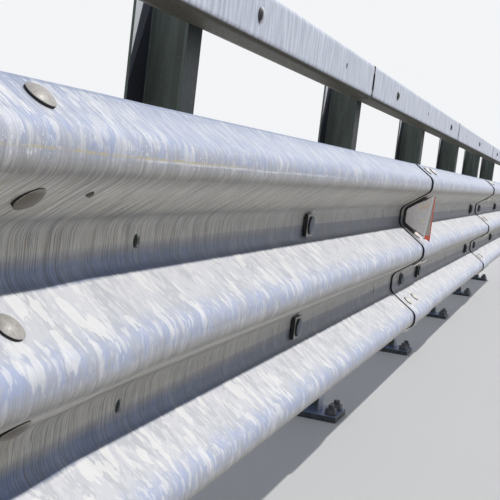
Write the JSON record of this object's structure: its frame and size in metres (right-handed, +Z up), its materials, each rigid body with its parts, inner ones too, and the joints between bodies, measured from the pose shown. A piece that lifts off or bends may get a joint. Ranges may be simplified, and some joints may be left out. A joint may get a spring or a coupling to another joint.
{
  "type": "highway guardrail section",
  "caption": "Galvanised bridge-edge guardrail: a lapped three-wave beam on spacers, an upper rail, and channel posts on anchored base plates.",
  "frame": {"origin": "middle of the underside of the second post's base plate", "axes": "+X along the rail, -Y to the road side, +Z up"},
  "size_m": [9.5, 0.5551, 1.185],
  "materials": {
    "galvanised_beam": "hot-dip galvanised sheet with streaked zinc flakes",
    "galvanised_rail": "hot-dip galvanised, vertical streaks",
    "galvanised_post": "weathered dull galvanising",
    "galvanised_hardware": "dull galvanised fasteners",
    "delineator_back": "grey-white sheet",
    "delineator_pad": "black rubber pad",
    "delineator_red": "red reflector plate"
  },
  "bodies": {
    "root": {"beam_1": "galvanised_beam", "beam_2": "galvanised_beam", "beam_3": "galvanised_beam", "beam_4": "galvanised_beam", "beam_5": "galvanised_beam", "upper_rail_1": "galvanised_rail", "upper_rail_2": "galvanised_rail", "upper_rail_3": "galvanised_rail", "upper_rail_4": "galvanised_rail", "upper_rail_5": "galvanised_rail", "rail_sleeve_1": "galvanised_rail", "rail_sleeve_2": "galvanised_rail", "rail_sleeve_3": "galvanised_rail", "rail_sleeve_4": "galvanised_rail", "post_1": "galvanised_post", "post_2": "galvanised_post", "post_3": "galvanised_post", "post_4": "galvanised_post", "post_5": "galvanised_post", "post_6": "galvanised_post", "post_7": "galvanised_post", "base_plate_1": "galvanised_post", "base_plate_2": "galvanised_post", "base_plate_3": "galvanised_post", "base_plate_4": "galvanised_post", "base_plate_5": "galvanised_post", "base_plate_6": "galvanised_post", "base_plate_7": "galvanised_post", "spacer_1": "galvanised_post", "spacer_2": "galvanised_post", "spacer_3": "galvanised_post", "spacer_4": "galvanised_post", "spacer_5": "galvanised_post", "spacer_6": "galvanised_post", "spacer_7": "galvanised_post", "washer_plates": "galvanised_hardware", "delineator_bracket": "delineator_back", "delineator_reflector": "delineator_red", "delineator_foot": "delineator_pad"}
  },
  "joints": []
}
